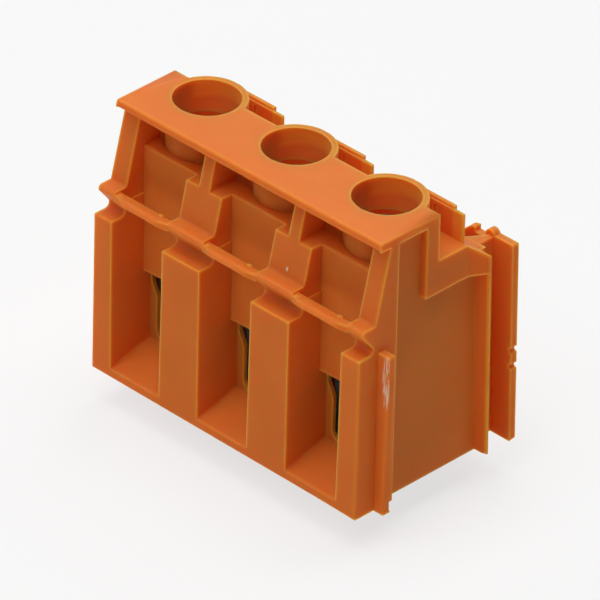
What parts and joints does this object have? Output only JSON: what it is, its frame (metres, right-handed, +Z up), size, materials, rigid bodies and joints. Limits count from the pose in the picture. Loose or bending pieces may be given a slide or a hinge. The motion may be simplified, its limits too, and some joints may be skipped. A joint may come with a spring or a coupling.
{
  "type": "pcb terminal block",
  "caption": "Moulded board-mounted terminal block with wire recesses between fins and screw-driven lift-cage clamps over solder pins.",
  "frame": {"origin": "on the board plane, on the axis of the middle screw", "axes": "+Z up from the board, -Y towards the entering wires, +X along the row towards the ribbed end"},
  "size_m": [0.0315, 0.018, 0.0282],
  "materials": {
    "moulded_polyamide": "satin moulded orange polyamide",
    "zinc_plated_yoke": "bent zinc-plated steel",
    "zinc_plated_screw": "zinc-plated steel, rolled thread",
    "tinned_bar": "tin-plated copper alloy strip"
  },
  "bodies": {
    "root": {"housing": "moulded_polyamide", "contact_bar_1": "tinned_bar", "contact_bar_2": "tinned_bar", "contact_bar_3": "tinned_bar"},
    "screw_1": {"clamp_screw_1": "zinc_plated_screw"},
    "yoke_1": {"clamp_yoke_1": "zinc_plated_yoke"},
    "screw_2": {"clamp_screw_2": "zinc_plated_screw"},
    "yoke_2": {"clamp_yoke_2": "zinc_plated_yoke"},
    "screw_3": {"clamp_screw_3": "zinc_plated_screw"},
    "yoke_3": {"clamp_yoke_3": "zinc_plated_yoke"}
  },
  "joints": [
    {"name": "screw_1_turn", "type": "hinge", "parent": "root", "child": "screw_1", "pos_m": [-0.01016, 0, 0.02], "axis": [0, 0, -1], "range_deg": [0, 2880]},
    {"name": "yoke_1_lift", "type": "slide", "parent": "root", "child": "yoke_1", "axis": [0, 0, 1], "range_m": [0, 0.0056]},
    {"name": "screw_2_turn", "type": "hinge", "parent": "root", "child": "screw_2", "pos_m": [0, 0, 0.02], "axis": [0, 0, -1], "range_deg": [0, 2880]},
    {"name": "yoke_2_lift", "type": "slide", "parent": "root", "child": "yoke_2", "axis": [0, 0, 1], "range_m": [0, 0.0056]},
    {"name": "screw_3_turn", "type": "hinge", "parent": "root", "child": "screw_3", "pos_m": [0.01016, 0, 0.02], "axis": [0, 0, -1], "range_deg": [0, 2880]},
    {"name": "yoke_3_lift", "type": "slide", "parent": "root", "child": "yoke_3", "axis": [0, 0, 1], "range_m": [0, 0.0056]}
  ],
  "couplings": [
    {"joint": "screw_1_turn", "follows": "yoke_1_lift", "rad_per_m": 8976},
    {"joint": "screw_2_turn", "follows": "yoke_2_lift", "rad_per_m": 8976},
    {"joint": "screw_3_turn", "follows": "yoke_3_lift", "rad_per_m": 8976}
  ]
}
